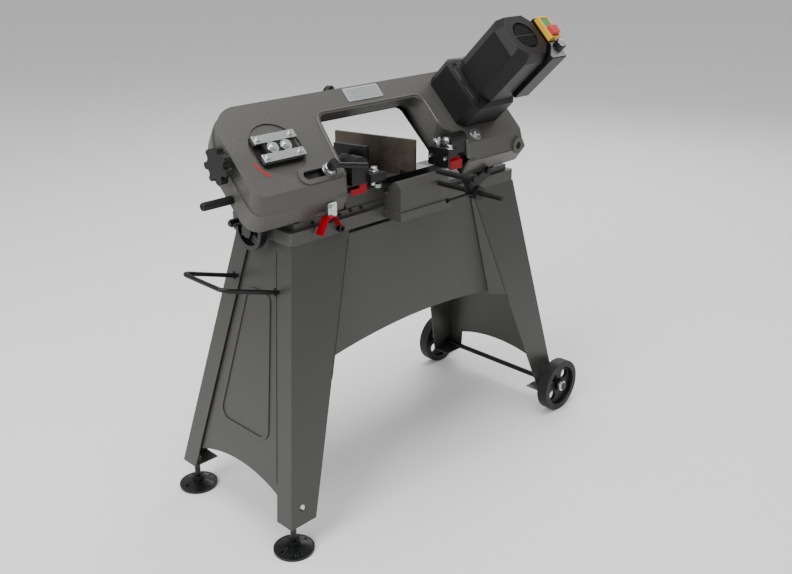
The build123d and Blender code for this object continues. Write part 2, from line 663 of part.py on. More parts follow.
def vise():
    """Mitred fixed jaw, moving jaw with its nut, screw and handwheel."""
    plate = box(-4, 4, -93, 93, TABLE_Z + 8, 698)
    heel = box(4, 40, -60, 60, TABLE_Z + 0.3, TABLE_Z + 12)
    rib = box(4, 34, -8, 8, TABLE_Z + 12, 680)
    jaw = plate + heel + rib + box(-4, 4, -60, 60, TABLE_Z + 0.3, TABLE_Z + 10)
    bolt = rod((20, 0, TABLE_Z + 0.3), (20, 0, TABLE_Z + 14), 12)
    bolt += hexagon((20, 0, TABLE_Z + 12), (0, 0, 1), 17, 9)
    save("fixed_jaw", jaw_at(jaw + bolt, FIXED_JAW_X))
    face = box(-2, 8, -38, 38, TABLE_Z + 3, 690)
    back = box(-38, -2, -16, 16, TABLE_Z + 3, 668)
    pad = rod((-22, 0, TABLE_Z + 0.4), (-22, 0, TABLE_Z + 3), 16)
    moving = face + back + pad - rod((-22, 0, 600), (-22, 0, 700), 7 + RUNNING)
    swing = Location((MOVING_JAW_X, VISE_Y, 0), (0, 0, JAW_TURN))
    save("moving_jaw", moving.moved(swing))
    pivot = Vector(-22, 0, 0).rotate(Axis.Z, JAW_TURN) + Vector(MOVING_JAW_X, VISE_Y, 0)
    nut = box(pivot.X - 16, pivot.X + 16, VISE_Y - 12.5, VISE_Y + 12.5, SCREW_Z - 12, TABLE_Z - 0.4)
    nut += box(pivot.X - 16, pivot.X + 16, SCREW_Y - 12.5, VISE_Y + 12.5, SCREW_Z - 11.5, SCREW_Z + 12)
    nut = nut - rod((pivot.X - 30, SCREW_Y, SCREW_Z), (pivot.X + 30, SCREW_Y, SCREW_Z), 8 + RUNNING)
    post = rod((pivot.X, pivot.Y, TABLE_Z - 0.6), (pivot.X, pivot.Y, 676), 7)
    nut = nut + post + rod((pivot.X, pivot.Y, 668.3), (pivot.X, pivot.Y, 673), 13)
    save("vise_nut", nut)
    save("vise_screw", rod((-352, SCREW_Y, SCREW_Z), (30, SCREW_Y, SCREW_Z), 8))
    handwheel()


def handwheel():
    """Three-spoked handwheel with a turning crank handle."""
    wheel = tube((-352, 0, 0), (-338, 0, 0), 37, 29) + rod((-356, 0, 0), (-334, 0, 0), 13)
    for k in range(3):
        a = math.radians(90 + 120 * k)
        wheel += rod((-345, 0, 0), (-345, 33 * math.cos(a), 33 * math.sin(a)), 5)
    wheel -= rod((-352, 0, 0), (-330, 0, 0), 8)
    place = Location((0, SCREW_Y, SCREW_Z))
    y, z = CRANK_YZ
    wheel = wheel + rod((-352, y, z), (-338, y, z), 6.5)
    pin = rod((-400, y, z), (-338, y, z), 3) + rod((-403, y, z), (-400, y, z), 5)
    save("handwheel", (wheel + pin).moved(place))
    grip = rod((-399.6, y, z), (-352.4, y, z), 7.5)
    bore = rod((-401, y, z), (-350, y, z), 3 + RUNNING)
    save("crank_handle", (grip - bore).moved(place))


# ---------------------------------------------------------------- work stop


def work_stop():
    """Stop rod in the front box, sliding arm with its pin and lock screw."""
    save("stop_rod", rod((STOP_X, -276, STOP_Z), (STOP_X, -97, STOP_Z), 4.95))
    hub = rod((STOP_X, -224, STOP_Z), (STOP_X, -196, STOP_Z), 13)
    upper = rod((PIN_X, -222, PIN_Z), (PIN_X, -202, PIN_Z), 11)
    plane = Plane(origin=(0, -204, 0), x_dir=(1, 0, 0), z_dir=(0, -1, 0))
    web = prism(plane, [(20, 606), (40, 622), (20, 652), (0, 640)], 14)
    arm = hub + upper + web + rod((PIN_X, -226, PIN_Z), (PIN_X, -130, PIN_Z), 5.5)
    arm -= rod((STOP_X, -230, STOP_Z), (STOP_X, -190, STOP_Z), 5.0)
    arm -= rod((0, -212, STOP_Z), (STOP_X, -212, STOP_Z), 3 + RUNNING)
    save("stop_arm", arm)
    screw = rod((-52, -212, STOP_Z), (STOP_X - 5.2, -212, STOP_Z), 3)
    save("stop_lock_screw", screw + rod((-54, -212, STOP_Z), (-48, -212, STOP_Z), 4.5))


# ---------------------------------------------------------------- stand


def sheet(points, normal, thickness=SHEET):
    """Flat sheet-metal panel through 3-D points, thickened along a normal."""
    face = make_face(Polyline(*points, close=True)).faces()[0]
    return Solid.extrude(face, Vector(*normal) * thickness)


def leg(side_x, side_y, foot):
    """Folded leg: front flange, end flange, return lip and foot plate."""
    x0, y0, z0 = side_x * LEG_TOP[0], side_y * LEG_TOP[1], STAND_TOP
    x1, y1, z1 = side_x * foot[0], side_y * foot[1], foot[2]
    in_x, in_y = -side_x, -side_y
    outer_top, outer_foot = (x0, y0, z0), (x1, y1, z1)
    front = sheet([outer_top, (x0 + in_x * FLANGE_TOP, y0, z0),
                   (x1 + in_x * FLANGE_FOOT, y1, z1), outer_foot], (0, in_y, 0))
    end = sheet([outer_top, (x0, y0 + in_y * END_FLANGE, z0),
                 (x1, y1 + in_y * END_FLANGE, z1), outer_foot], (in_x, 0, 0))
    plate = box(min(x1, x1 + in_x * 56), max(x1, x1 + in_x * 56),
                min(y1, y1 + in_y * 42), max(y1, y1 + in_y * 42), z1, z1 + SHEET)
    leg_body = front + end + plate
    return leg_body


def arch_panel(plane, top, bottom, rise, depth):
    """Trapezoid panel whose lower edge is an arch."""
    (tx, tz), (bx, bz) = top, bottom
    left = Line((-tx, tz), (-bx, bz))
    arc = ThreePointArc((-bx, bz), (0, bz + rise), (bx, bz))
    right = Line((bx, bz), (tx, tz))
    cap = Line((tx, tz), (-tx, tz))
    face = make_face(plane * Curve([left, arc, right, cap])).faces()[0]
    return Solid.extrude(face, plane.z_dir * depth)


def stand():
    """Four legs, four panels, tray plate, handle, feet and transport wheels."""
    save("leg_front_left", leg(-1, -1, LEG_FOOT_LEFT) - foot_hole(-1) - sight_hole())
    save("leg_rear_left", leg(-1, 1, LEG_FOOT_LEFT) - foot_hole(1))
    axle = rod((AXLE_X, -230, TYRE_R), (AXLE_X, 230, TYRE_R), 6.3)
    save("leg_front_right", leg(1, -1, LEG_FOOT_RIGHT) - axle)
    save("leg_rear_right", leg(1, 1, LEG_FOOT_RIGHT) - axle)
    for name, side in (("panel_front", -1), ("panel_rear", 1)):
        tilt = math.atan2(13, 250)
        plane = Plane(origin=(0, side * 76.0, STAND_TOP - 8), x_dir=(1, 0, 0),
                      z_dir=(0, -side * math.cos(tilt), -math.sin(tilt)))
        flip = plane.y_dir.Z
        save(name, arch_panel(plane, (188, 0), (276, -241 * flip), 26 * flip, SHEET))
    for name, side in (("panel_left_end", -1), ("panel_right_end", 1)):
        foot = LEG_FOOT_LEFT if side < 0 else LEG_FOOT_RIGHT
        lean = math.atan2(foot[0] - LEG_TOP[0], STAND_TOP - foot[2])
        plane = Plane(origin=(side * 315.5, 0, STAND_TOP - 3), x_dir=(0, 1, 0),
                      z_dir=(-side * math.cos(lean), 0, -math.sin(lean)))
        flip = plane.y_dir.Z / abs(plane.y_dir.Z)
        save(name, arch_panel(plane, (46, 0), (130, -468 * flip), 26 * flip, SHEET))


def foot_hole(side):
    return rod((-FOOT_X, side * FOOT_Y, 50), (-FOOT_X, side * FOOT_Y, 70), 6.3)


def sight_hole():
    return rod((-392, -200, 90), (-392, -140, 90), 6.5)


def feet():
    """Two levelling feet under the left legs, each a domed disc on a stem."""
    for name, side in (("front", -1), ("rear", 1)):
        y = side * FOOT_Y
        foot = rod((-FOOT_X, y, 0), (-FOOT_X, y, 5), 39)
        foot += Solid.make_cone(36, 14, 9, Plane(origin=(-FOOT_X, y, 5)))
        foot += rod((-FOOT_X, y, 14), (-FOOT_X, y, 22), 12)
        foot += rod((-FOOT_X, y, 20), (-FOOT_X, y, 96), 6)
        for dx in (-28, 28):
            foot -= rod((-FOOT_X + dx, y, -1), (-FOOT_X + dx, y, 20), 3)
        save(f"levelling_foot_{name}", foot)


def transport():
    """Axle, two spoked wheels and end caps at the right end."""
    axle = rod((AXLE_X, -211, TYRE_R), (AXLE_X, 211, TYRE_R), AXLE_R)
    for name, side in (("front", -1), ("rear", 1)):
        y0, y1 = side * 177, side * 203
        wheel = rod((AXLE_X, y0, TYRE_R), (AXLE_X, y1, TYRE_R), TYRE_R)
        for cut in (side * 194, side * 186):
            edge = y1 + side if cut == side * 194 else y0 - side
            wheel -= tube((AXLE_X, cut, TYRE_R), (AXLE_X, edge, TYRE_R), 47, 15)
        for k in range(4):
            a = math.radians(45 + 90 * k)
            x, z = AXLE_X + 31 * math.cos(a), TYRE_R + 31 * math.sin(a)
            wheel -= rod((x, side * 170, z), (x, side * 210, z), 12)
        bore = rod((AXLE_X, y0 - side, TYRE_R), (AXLE_X, y1 + side, TYRE_R), AXLE_R + RUNNING)
        save(f"transport_wheel_{name}", wheel - bore)
        axle += rod((AXLE_X, side * 203.3, TYRE_R), (AXLE_X, side * 205, TYRE_R), 12)
        axle += rod((AXLE_X, side * 205, TYRE_R), (AXLE_X, side * 211, TYRE_R), 9)
        axle += rod((AXLE_X, side * 172, TYRE_R), (AXLE_X, side * 176.7, TYRE_R), 10)
    save("axle", axle)


def pull_handle():
    """U-shaped round-bar handle standing out of the left end."""
    top = Vector(-340.5, 0, 475)
    reach = Vector(-118, 0, 37)
    y = 61.0
    path = FilletPolyline(
        Vector(top.X, -y, top.Z), Vector(top.X + reach.X, -y, top.Z + reach.Z),
        Vector(top.X + reach.X, y, top.Z + reach.Z), Vector(top.X, y, top.Z), radius=16)
    start = Plane(origin=(top.X, -y, top.Z), z_dir=reach)
    bar = sweep(start * Circle(4.2), path=path)
    save("pull_handle", bar)


def main():
    save("bow_frame", bow_frame())
    bow_screws()
    save("blade_cover", blade_cover())
    save("blade", blade())
    band_wheels()
    drive_train()
    motor()
    motor_covers()
    controls()
    tension_parts()
    guides()
    guards()
    clamp_lever()
    save("lift_handle", lift_handle())
    save("bed", bed())
    bed_screws()
    hinge()
    vise()
    work_stop()
    stand()
    feet()
    transport()
    pull_handle()


main()
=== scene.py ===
import json
import math

import bmesh
import bpy
from mathutils import Matrix, Vector

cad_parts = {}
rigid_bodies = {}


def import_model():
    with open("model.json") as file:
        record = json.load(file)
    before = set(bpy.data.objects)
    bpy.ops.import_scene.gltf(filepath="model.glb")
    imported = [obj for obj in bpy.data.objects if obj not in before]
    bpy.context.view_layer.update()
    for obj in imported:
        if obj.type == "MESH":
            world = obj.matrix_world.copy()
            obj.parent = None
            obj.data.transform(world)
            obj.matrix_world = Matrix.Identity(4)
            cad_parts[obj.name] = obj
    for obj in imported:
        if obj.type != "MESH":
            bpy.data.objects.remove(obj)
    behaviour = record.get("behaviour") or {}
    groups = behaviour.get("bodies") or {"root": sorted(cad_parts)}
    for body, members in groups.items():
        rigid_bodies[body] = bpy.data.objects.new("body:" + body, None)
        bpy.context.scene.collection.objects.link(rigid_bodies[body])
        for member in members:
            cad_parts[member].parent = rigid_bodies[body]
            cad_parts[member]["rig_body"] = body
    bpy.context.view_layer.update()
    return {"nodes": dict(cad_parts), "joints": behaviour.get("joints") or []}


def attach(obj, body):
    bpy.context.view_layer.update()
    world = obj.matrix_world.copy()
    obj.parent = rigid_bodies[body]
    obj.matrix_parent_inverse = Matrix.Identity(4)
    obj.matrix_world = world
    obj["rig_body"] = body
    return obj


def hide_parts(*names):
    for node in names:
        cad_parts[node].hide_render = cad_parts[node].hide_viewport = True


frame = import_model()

MM = 0.001

# ------------------------------------------------------------------ places
# The bow is drawn in its own plane: u along the blade, v up the bow, w out of
# its painted face. The stand and bed are drawn from the stand's middle.
JOINTS = {joint["name"]: joint for joint in frame["joints"]}
IDLER_U, WHEEL_V = -302.0, 94.12
TENSION_V = 98.0
U_AXIS = Vector((1, 0, 0))
W_AXIS = Vector(JOINTS["idler_spin"]["axis"])
V_AXIS = W_AXIS.cross(U_AXIS)
IDLER = Vector(JOINTS["idler_spin"]["pos_m"])
BOW_ORIGIN = IDLER - U_AXIS * IDLER_U * MM - V_AXIS * WHEEL_V * MM
PIVOT = Vector(JOINTS["bow_swing"]["pos_m"])
PIVOT_X = 318.0
TABLE_Z = 626.0
FLOOR_ORIGIN = Vector((PIVOT.x - PIVOT_X * MM, PIVOT.y, 0))


def basis(origin, x, y, z):
    """Matrix from an origin and three axes, all in one unit."""
    m = Matrix((x, y, z)).transposed().to_4x4()
    m.translation = origin
    return m


def axes(origin, x, y, z):
    """Matrix that puts millimetre coordinates on three axes."""
    return basis(origin, x, y, z) @ Matrix.Scale(MM, 4)


BOW = axes(BOW_ORIGIN, U_AXIS, V_AXIS, W_AXIS)
FLOOR = axes(FLOOR_ORIGIN, Vector((1, 0, 0)), Vector((0, 1, 0)), Vector((0, 0, 1)))


def facing(space, place, normal, up=(0, 0, 1)):
    """Millimetre frame at a place, its z along a normal and its y near up."""
    z = Vector(normal).normalized()
    x = Vector(up).cross(z)
    if x.length < 1e-6:
        x = Vector((1, 0, 0)).cross(z)
    x.normalize()
    y = z.cross(x)
    return space @ basis(Vector(place), x, y, z)


# ------------------------------------------------------------------ materials
def srgb(r, g, b):
    """Linear colour from 8-bit display values."""
    def lin(c):
        c /= 255
        return c / 12.92 if c <= 0.04045 else ((c + 0.055) / 1.055) ** 2.4
    return (lin(r), lin(g), lin(b), 1.0)


def surface(name, colour, rough, metal=0.0, grain=60.0, mottle=0.12, bump=0.0, bump_scale=900.0,
            rough_vary=0.08, gleam=0.5):
    """Node material: mottled colour, uneven roughness and a fine bump."""
    mat = bpy.data.materials.new(name)
    mat.use_nodes = True
    tree = mat.node_tree
    shader = tree.nodes["Principled BSDF"]
    coords = tree.nodes.new("ShaderNodeTexCoord")
    large = tree.nodes.new("ShaderNodeTexNoise")
    large.inputs["Scale"].default_value = grain
    large.inputs["Detail"].default_value = 6
    large.inputs["Roughness"].default_value = 0.6
    tree.links.new(coords.outputs["Object"], large.inputs["Vector"])
    ramp = tree.nodes.new("ShaderNodeValToRGB")
    ramp.color_ramp.elements[0].position = 0.3
    ramp.color_ramp.elements[1].position = 0.7
    ramp.color_ramp.elements[0].color = tuple(c * (1 - mottle) for c in colour[:3]) + (1,)
    ramp.color_ramp.elements[1].color = tuple(min(1, c * (1 + mottle)) for c in colour[:3]) + (1,)
    tree.links.new(large.outputs["Fac"], ramp.inputs["Fac"])
    tree.links.new(ramp.outputs["Color"], shader.inputs["Base Color"])
    level = tree.nodes.new("ShaderNodeMapRange")
    level.inputs["To Min"].default_value = max(0.02, rough - rough_vary)
    level.inputs["To Max"].default_value = min(1.0, rough + rough_vary)
    tree.links.new(large.outputs["Fac"], level.inputs["Value"])
    tree.links.new(level.outputs["Result"], shader.inputs["Roughness"])
    shader.inputs["Metallic"].default_value = metal
    shader.inputs["Specular IOR Level"].default_value = gleam
    if bump:
        fine = tree.nodes.new("ShaderNodeTexNoise")
        fine.inputs["Scale"].default_value = bump_scale
        fine.inputs["Detail"].default_value = 4
        tree.links.new(coords.outputs["Object"], fine.inputs["Vector"])
        bumper = tree.nodes.new("ShaderNodeBump")
        bumper.inputs["Strength"].default_value = bump
        bumper.inputs["Distance"].default_value = 0.0006
        tree.links.new(fine.outputs["Fac"], bumper.inputs["Height"])
        tree.links.new(bumper.outputs["Normal"], shader.inputs["Normal"])
    return mat


MATERIALS = {
    "bow_paint": surface("bow_paint", srgb(84, 83, 79), 0.42, 0.35, 260, 0.12, 0.2, 1100),
    "bed_paint": surface("bed_paint", srgb(70, 70, 66), 0.46, 0.3, 240, 0.16, 0.28, 900),
    "stand_paint": surface("stand_paint", srgb(64, 64, 61), 0.38, 0.25, 90, 0.03, 0.06, 1500),
    "ground_iron": surface("ground_iron", srgb(128, 129, 128), 0.36, 0.9, 120, 0.12, 0.1, 700),
    "dark_iron": surface("dark_iron", srgb(84, 78, 68), 0.42, 0.7, 45, 0.2, 0.12, 500),
    "black_paint": surface("black_paint", srgb(20, 20, 20), 0.38, 0.0, 150, 0.12, 0.1, 900, gleam=0.35),
    "black_plastic": surface("black_plastic", srgb(19, 19, 20), 0.46, 0.0, 200, 0.1, 0.12, 1300, gleam=0.3),
    "gloss_plastic": surface("gloss_plastic", srgb(16, 17, 18), 0.28, 0.0, 120, 0.12, 0.04, 800, gleam=0.4),
    "rubber": surface("rubber", srgb(20, 20, 21), 0.5, 0.0, 150, 0.12, 0.1, 700, gleam=0.3),
    "black_oxide": surface("black_oxide", srgb(33, 32, 31), 0.36, 0.6, 180, 0.2, 0.05, 900),
    "zinc": surface("zinc", srgb(208, 213, 212), 0.24, 0.95, 160, 0.04, 0.03, 600, 0.04),
    "steel": surface("steel", srgb(150, 152, 152), 0.3, 0.95, 300, 0.08, 0.04, 900),
    "blade_steel": surface("blade_steel", srgb(34, 35, 36), 0.35, 0.8, 250, 0.15, 0.03, 900),
    "cast_iron": surface("cast_iron", srgb(92, 90, 86), 0.6, 0.5, 130, 0.2, 0.4, 400),
    "red_paint": surface("red_paint", srgb(142, 0, 20), 0.36, 0.0, 90, 0.05, 0.02, 600, gleam=0.2),
    "red_mark": surface("red_mark", srgb(158, 14, 24), 0.5, 0.0, 200, 0.06),
    "yellow_plastic": surface("yellow_plastic", srgb(222, 172, 44), 0.42, 0.0, 120, 0.05, 0.05, 900),
    "green_plastic": surface("green_plastic", srgb(64, 138, 86), 0.38, 0.0, 120, 0.05),
    "red_plastic": surface("red_plastic", srgb(190, 50, 56), 0.36, 0.0, 120, 0.05),
    "plate_silver": surface("plate_silver", srgb(186, 192, 194), 0.35, 0.7, 400, 0.05),
    # Black ink for the dial's print, also laid on as painted shade in the vent slots and along the flange
    # seams.
    "dial_ink": surface("dial_ink", srgb(22, 23, 25), 0.5, 0.0, 200, 0.1),
}


# ------------------------------------------------------------------ mesh tools
def even_normals(piece):
    """Weight the normals by face area, so that flats stay flat beside their rounded edges."""
    modifier = piece.modifiers.new("even", "WEIGHTED_NORMAL")
    modifier.keep_sharp = True
    scene_state = bpy.context.evaluated_depsgraph_get()
    rough = piece.data
    piece.data = bpy.data.meshes.new_from_object(piece.evaluated_get(scene_state))
    piece.modifiers.clear()
    piece.data.name = rough.name + "_even"


def finish_piece(mesh_object, material, body, node=None, angle=35.0):
    """Give a new object its shading, material, body and, if any, its CAD node."""
    mesh = mesh_object.data
    names = [material] if isinstance(material, str) else material
    for name in names:
        if mesh.materials.find(name) < 0:
            mesh.materials.append(MATERIALS[name])
    mesh.shade_smooth()
    mesh.set_sharp_from_angle(angle=math.radians(angle))
    even_normals(mesh_object)
    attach(mesh_object, body)
    if node:
        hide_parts(node)
    return mesh_object


def from_bmesh(name, bm, material, body, node=None):
    """Object from a bmesh that is already in metres."""
    bmesh.ops.recalc_face_normals(bm, faces=bm.faces)
    mesh = bpy.data.meshes.new(name)
    bm.to_mesh(mesh)
    bm.free()
    piece = bpy.data.objects.new(name, mesh)
    bpy.context.scene.collection.objects.link(piece)
    return finish_piece(piece, material, body, node)


def bevelled(bm, width, segments=2, angle=28.0):
    """Round every edge sharper than an angle, width in metres."""
    edges = [e for e in bm.edges if len(e.link_faces) == 2
             and e.calc_face_angle(0) > math.radians(angle)]
    if edges:
        bmesh.ops.bevel(bm, geom=edges, offset=width, offset_type="OFFSET", segments=segments,
                        profile=0.6, affect="EDGES", clamp_overlap=True)


def cad_copy(name, node, material, width=0.8, segments=2, angle=28.0, paint=None):
    """Smooth-edged copy of a CAD node, which it replaces."""
    source = frame["nodes"][node]
    body = source["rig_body"]
    bm = bmesh.new()
    bm.from_mesh(source.data)
    bmesh.ops.remove_doubles(bm, verts=bm.verts, dist=1e-6)
    bmesh.ops.dissolve_limit(bm, angle_limit=math.radians(0.6), verts=bm.verts, edges=bm.edges)
    if width:
        bevelled(bm, width * MM, segments, angle)
    for face in bm.faces:
        face.material_index = 0
    if paint:
        paint(bm)
    return from_bmesh(name, bm, material, body, node)


def add_prism(bm, matrix, outline, low, high):
    """Closed prism of an outline between two heights, in a millimetre frame."""
    rings = []
    for level in (low, high):
        rings.append([bm.verts.new(matrix @ Vector((x, y, level))) for x, y in outline])
    count = len(outline)
    for i in range(count):
        j = (i + 1) % count
        bm.faces.new((rings[0][i], rings[0][j], rings[1][j], rings[1][i]))
    bm.faces.new(reversed(rings[0]))
    bm.faces.new(rings[1])
    return bm


def add_lathe(bm, matrix, profile, steps=40):
    """Surface of revolution about the frame's z, from (radius, height) points."""
    rings = []
    for radius, height in profile:
        if radius < 1e-6:
            rings.append([bm.verts.new(matrix @ Vector((0, 0, height)))])
            continue
        ring = []
        for k in range(steps):
            a = 2 * math.pi * k / steps
            ring.append(bm.verts.new(matrix @ Vector((radius * math.cos(a), radius * math.sin(a), height))))
        rings.append(ring)
    for low, high in zip(rings, rings[1:]):
        for k in range(steps):
            n = (k + 1) % steps
            if len(low) == 1 and len(high) == 1:
                continue
            if len(low) == 1:
                bm.faces.new((low[0], high[n], high[k]))
            elif len(high) == 1:
                bm.faces.new((low[k], low[n], high[0]))
            else:
                bm.faces.new((low[k], low[n], high[n], high[k]))
    return bm


def circle(radius, steps=32):
    """Points round a circle about the frame's middle."""
    turns = [2 * math.pi * k / steps for k in range(steps)]
    return [(radius * math.cos(t), radius * math.sin(t)) for t in turns]


def hexagon(across):
    """Corners of a hexagon from its width across the flats."""
    return circle(across / math.sqrt(3), 6)


def rounded(corners, radius, steps=5):
    """Polygon with every corner rounded."""
    points = []
    count = len(corners)
    for i in range(count):
        p, q, r = (Vector(corners[i - 1]), Vector(corners[i]), Vector(corners[(i + 1) % count]))
        a, b = (p - q).normalized(), (r - q).normalized()
        half = math.acos(max(-1, min(1, a.dot(b)))) / 2
        reach = min(radius / math.tan(half), 0.45 * min((p - q).length, (r - q).length))
        real = reach * math.tan(half)
        centre = q + (a + b).normalized() * (real / math.sin(half))
        start, end = q + a * reach - centre, q + b * reach - centre
        turn = math.atan2(start.x * end.y - start.y * end.x, start.dot(end))
        for k in range(steps + 1):
            t = turn * k / steps
            c, s = math.cos(t), math.sin(t)
            points.append((centre.x + start.x * c - start.y * s, centre.y + start.x * s + start.y * c))
    return points


def lathe(name, matrix, profile, material, body, steps=40):
    """Surface of revolution as its own piece."""
    return from_bmesh(name, add_lathe(bmesh.new(), matrix, profile, steps), material, body)


def slab(name, matrix, outline, low, high, material, body, width=0.0):
    """Prism with rounded edges as its own piece."""
    bm = add_prism(bmesh.new(), matrix, outline, low, high)
    if width:
        bmesh.ops.recalc_face_normals(bm, faces=bm.faces)
        bevelled(bm, width * MM)
    return from_bmesh(name, bm, material, body)


def add_hex_head(bm, matrix, across, height, washer=0.0):
    """Hexagonal head with a chamfered crown, and a washer under it if asked."""
    base = 0.0
    if washer:
        add_lathe(bm, matrix, [(0, 0), (washer - 0.3, 0), (washer, 0.3), (washer, 1.2),
                               (washer - 0.4, 1.6), (0, 1.6)], 32)
        base = 1.5
    corner = across / math.sqrt(3)
    add_prism(bm, matrix, hexagon(across), base, base + height * 0.86)
    crown = [(0, base + height * 0.8), (corner * 0.9, base + height * 0.8),
             (corner * 0.985, base + height * 0.86), (corner * 0.86, base + height), (0, base + height)]
    add_lathe(bm, matrix, crown, 24)
    return bm


def add_socket_head(bm, matrix, radius, height):
    """Round head with a socket recess."""
    bore = radius * 0.5
    deep = height * 0.55
    profile = [(0, 0), (radius, 0), (radius, height - 0.5), (radius - 0.5, height),
               (bore + 0.2, height), (bore, height - 0.2), (bore, height - deep), (0, height - deep)]
    return add_lathe(bm, matrix, profile, 28)


def bolt(name, matrix, across, height, material, body, washer=0.0):
    """Hexagonal head as its own piece."""
    return from_bmesh(name, add_hex_head(bmesh.new(), matrix, across, height, washer), material, body)


def sweep_piece(name, matrix, points, radius, material, body):
    """Round bar along a smooth line of millimetre points, as a mesh."""
    curve = bpy.data.curves.new(name + "_line", "CURVE")
    curve.dimensions = "3D"
    curve.bevel_depth = radius * MM
    curve.bevel_resolution = 5
    curve.use_fill_caps = True
    spline = curve.splines.new("POLY")
    spline.points.add(len(points) - 1)
    for target, point in zip(spline.points, points):
        target.co = (matrix @ Vector(point)).to_4d()
    holder = bpy.data.objects.new(name + "_holder", curve)
    bpy.context.scene.collection.objects.link(holder)
    bpy.context.view_layer.update()
    mesh = bpy.data.meshes.new_from_object(holder.evaluated_get(bpy.context.evaluated_depsgraph_get()))
    bpy.data.objects.remove(holder)
    bpy.data.curves.remove(curve)
    mesh.name = name
    piece = bpy.data.objects.new(name, mesh)
    bpy.context.scene.collection.objects.link(piece)
    return finish_piece(piece, material, body, angle=50)


# ------------------------------------------------------------------ plain copies
PLAIN = [
    ("front_left_leg", "leg_front_left", "stand_paint", 0.6),
    ("rear_left_leg", "leg_rear_left", "stand_paint", 0.6),
    ("front_right_leg", "leg_front_right", "stand_paint", 0.6),
    ("rear_right_leg", "leg_rear_right", "stand_paint", 0.6),
    ("front_panel", "panel_front", "stand_paint", 0.5),
    ("rear_panel", "panel_rear", "stand_paint", 0.5),
    ("left_end_panel", "panel_left_end", "stand_paint", 0.5),
    ("right_end_panel", "panel_right_end", "stand_paint", 0.5),
    ("handle_bar", "pull_handle", "black_paint", 0.0),
    ("wheel_axle", "axle", "black_oxide", 0.3),
    ("front_wheel", "transport_wheel_front", "rubber", 2.5),
    ("rear_wheel", "transport_wheel_rear", "rubber", 2.5),
    ("front_foot", "levelling_foot_front", "gloss_plastic", 0.5),
    ("rear_foot", "levelling_foot_rear", "gloss_plastic", 0.5),
    ("hinge_casting", "hinge_bracket", "black_paint", 1.0),
    ("hinge_pin", "pivot_pin", "steel", 0.4),
    ("bed_fasteners", "bed_screws", "black_oxide", 0.3),
    ("strap", "rest_strap", "black_paint", 0.4),
    ("stop_bar", "stop_rod", "black_oxide", 0.5),
    ("stop_casting", "stop_arm", "black_paint", 0.8),
    ("stop_screw", "stop_lock_screw", "black_oxide", 0.3),
    ("vise_jaw_fixed", "fixed_jaw", "dark_iron", 0.8),
    ("vise_jaw_moving", "moving_jaw", "black_paint", 0.8),
    ("jaw_nut", "vise_nut", "cast_iron", 0.5),
    ("lead_screw", "vise_screw", "steel", 0.4),
    ("hand_wheel", "handwheel", "gloss_plastic", 1.2),
    ("crank_grip", "crank_handle", "gloss_plastic", 1.0),
    ("cover_sheet", "blade_cover", "black_paint", 0.4),
    ("nose_handle", "lift_handle", "rubber", 1.0),
    ("saw_blade", "blade", "blade_steel", 0.0),
    ("gear_plate", "gearbox_base", "cast_iron", 0.4),
    ("motor_body", "motor_can", "cast_iron", 0.6),
    ("base_cover", "motor_base_cover", "black_plastic", 1.0),
    ("motor_shell", "motor_cover", "black_plastic", 1.0),
    ("end_cap", "motor_end_cap", "black_plastic", 1.0),
    ("switch_box", "control_box", "black_plastic", 1.2),
    ("switch_surround", "switch_plate", "yellow_plastic", 1.0),
    ("red_button", "stop_button", "red_plastic", 1.0),
    ("green_button", "start_button", "green_plastic", 0.8),
    ("dial_knob", "speed_knob", "gloss_plastic", 0.6),
    ("slide_rails", "gib_plates", "zinc", 0.5),
    ("bow_fasteners", "bow_screws", "zinc", 0.3),
    ("right_guide", "right_guide_arm", "black_paint", 0.8),
    ("left_guide_casting", "left_guide_arm", "black_paint", 1.0),
    ("right_guard", "right_blade_guard", "red_paint", 0.4),
    ("left_guard", "left_blade_guard", "red_paint", 0.4),
    ("lever", "clamp_lever", "black_paint", 1.0),
    ("slide_carriage", "idler_slide", "black_paint", 0.6),
    ("wheel_idler", "idler_wheel", "cast_iron", 0.8),
    ("wheel_drive", "drive_wheel", "cast_iron", 0.8),
    ("final_drive", "drive_shaft", "steel", 0.2),
    ("gear_counter", "counter_gear", "steel", 0.0),
    ("rotor", "motor_rotor", "steel", 0.2),
    ("tension_grip", "tension_knob", "black_plastic", 1.0),
]
for side in ("left", "right"):
    for place in ("front", "rear"):
        PLAIN.append((f"{side}_{place}_bearing", f"{side}_{place}_roller", "steel", 0.3))


def plain_copies():
    """Every part that needs only its rounded edges and its material."""
    for name, node, material, width in PLAIN:
        cad_copy(name, node, material, width)


# ------------------------------------------------------------------ castings
def bed_surfaces(bm):
    """Ground metal on the table's top."""
    top = FLOOR_ORIGIN.z + TABLE_Z * MM
    for face in bm.faces:
        if face.normal.z > 0.99 and abs(face.calc_center_median().z - top) < 0.001:
            face.material_index = 1


def castings():
    """The bow's and the bed's castings, with wider rounds than the sheet parts."""
    cad_copy("bow_casting", "bow_frame", "bow_paint", 1.8, 3, 24)
    cad_copy("bed_casting", "bed", ["bed_paint", "ground_iron"], 1.2, 2, 28, bed_surfaces)


# ------------------------------------------------------------------ small pieces
FACE_W = 32.0
UP_BOW = (0, 1, 0)
OUT = (0, 0, 1)
TOP = (0, 0, 1)
BACK = (0, 0, -1)
FRONT = (0, -1, 0)
LEFT = (-1, 0, 0)
MOTOR_UV = (230, 120)          # middle of the motor
DIAL_UV = (295, 78)            # middle of the speed knob
LEVER_UV = (-226, 34)          # stud of the guide's clamp lever
KNOB_UV = (-66, 226)           # upper knob of the blade cover
BOX_TOP_W = 238                # face of the control box
FOOT_X, FOOT_Y = -406, 155     # levelling feet
AXLE_X, WHEEL_FACE_Y, AXLE_Z = 388, 203, 62


def on_face(u, v, w=FACE_W):
    """Millimetre frame on the bow's painted face."""
    return facing(BOW, (u, v, w), OUT, UP_BOW)


